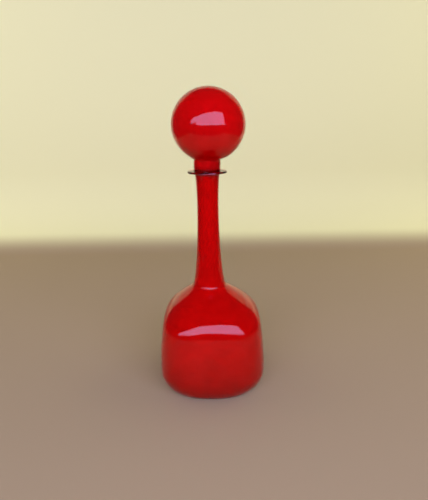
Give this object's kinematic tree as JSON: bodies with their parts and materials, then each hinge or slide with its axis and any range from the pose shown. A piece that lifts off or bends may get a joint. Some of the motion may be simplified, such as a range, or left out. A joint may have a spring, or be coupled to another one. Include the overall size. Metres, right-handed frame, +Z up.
{
  "type": "glass bottle",
  "caption": "Hand-blown cased glass bottle with a squared pillow body, slim round neck, disc lip and hollow ball stopper.",
  "frame": {"origin": "on the surface that the bottle stands on, under the middle of its squared body", "axes": "+Z up along the neck, -Y out of the squared face that the picture shows, +X to that face's right"},
  "size_m": [0.1136, 0.1136, 0.312],
  "materials": {
    "red_glass": "fire-polished, clear red over white",
    "opal_glass": "smooth white opal",
    "clear_red_glass": "fire-polished, clear dark red"
  },
  "bodies": {
    "bottle": {"bottle_casing": "red_glass", "bottle_lining": "opal_glass", "lip_ring": "clear_red_glass"},
    "stopper": {"stopper_casing": "red_glass", "stopper_lining": "opal_glass"}
  },
  "joints": [
    {"name": "stopper_lift", "type": "slide", "parent": "bottle", "child": "stopper", "axis": [0, 0, 1], "range_m": [0, 0.05]}
  ]
}
